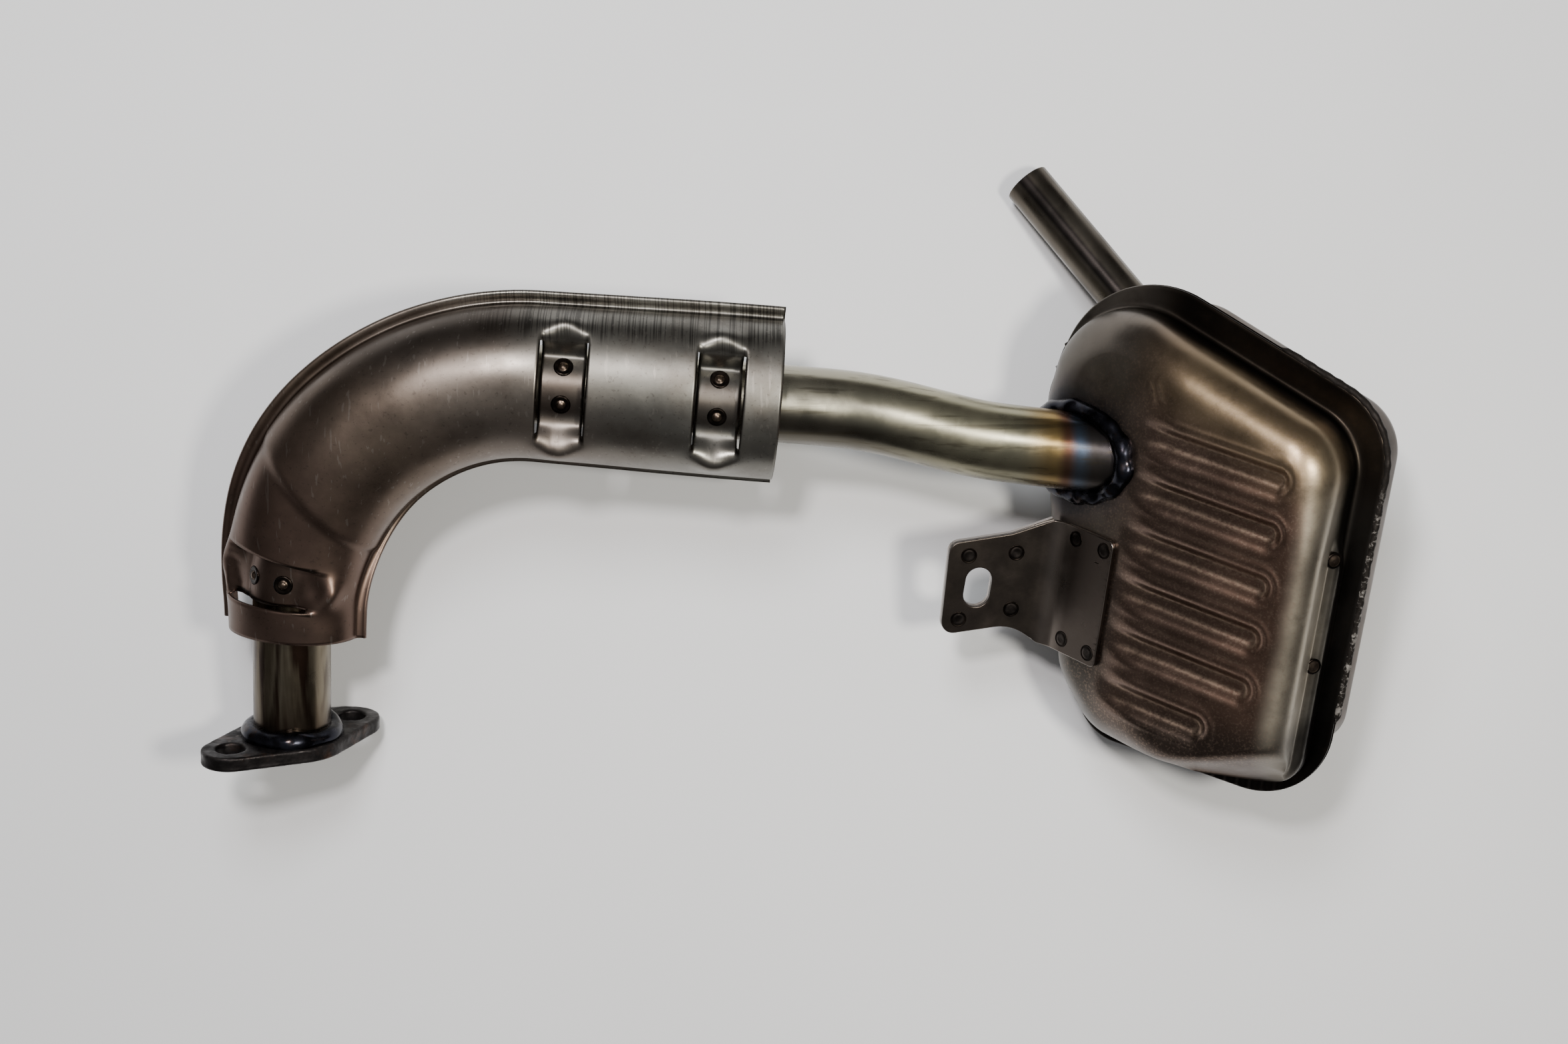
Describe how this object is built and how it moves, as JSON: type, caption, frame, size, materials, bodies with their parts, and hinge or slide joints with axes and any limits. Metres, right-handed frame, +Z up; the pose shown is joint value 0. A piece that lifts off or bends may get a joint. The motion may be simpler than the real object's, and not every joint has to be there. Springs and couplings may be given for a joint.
{
  "type": "racing exhaust system",
  "caption": "Small-engine racing exhaust: bolted header flange, bent header pipe under a stamped heat shield, two-shell ribbed muffler, hanger bracket and straight tail pipe.",
  "frame": {"origin": "on the bench, under the middle of the part's box as it lies on its flange, muffler corner and tail pipe tip", "axes": "+Z up from the bench, +X from the header flange towards the muffler, +Y from the flange up the first straight of the header pipe"},
  "size_m": [0.3824, 0.2062, 0.1057],
  "materials": {
    "flange_steel": "dark oxide scale, worn to bare brown-grey metal on the edges",
    "header_weld": "dark glossy weld bead",
    "header_tube": "satin, straw to blue heat tint along its length",
    "shield_sheet": "satin stamped sheet, grey to bronze heat tint, fine scratches",
    "shield_spots": "dull pressed weld spot with a darker ring",
    "muffler_sheet": "satin brown-mauve heat tint, lighter grey on the flanks",
    "seam_bead": "rough dark weld bead with pale spatter",
    "inner_sheet": "plain dull sheet",
    "spot_welds": "dark ringed weld mark",
    "bracket_sheet": "dark grey satin sheet with bright worn edges",
    "tail_tube": "satin grey-brown tube"
  },
  "bodies": {
    "root": {"header_flange": "flange_steel", "flange_weld": "header_weld", "header_pipe": "header_tube", "heat_shield": "shield_sheet", "shield_spot_welds": "shield_spots", "front_shell": "muffler_sheet", "rear_shell": "muffler_sheet", "seam_weld": "seam_bead", "inlet_weld": "header_weld", "perforated_tube": "inner_sheet", "perforated_tube_cap": "inner_sheet", "upper_baffle": "inner_sheet", "lower_baffle": "inner_sheet", "transfer_tube": "inner_sheet", "baffle_plug_welds": "spot_welds", "bracket_top_plate": "bracket_sheet", "bracket_bottom_plate": "bracket_sheet", "tab_spot_welds": "spot_welds", "foot_spot_welds": "spot_welds", "tail_pipe": "tail_tube", "tail_pipe_weld": "header_weld"}
  },
  "joints": []
}
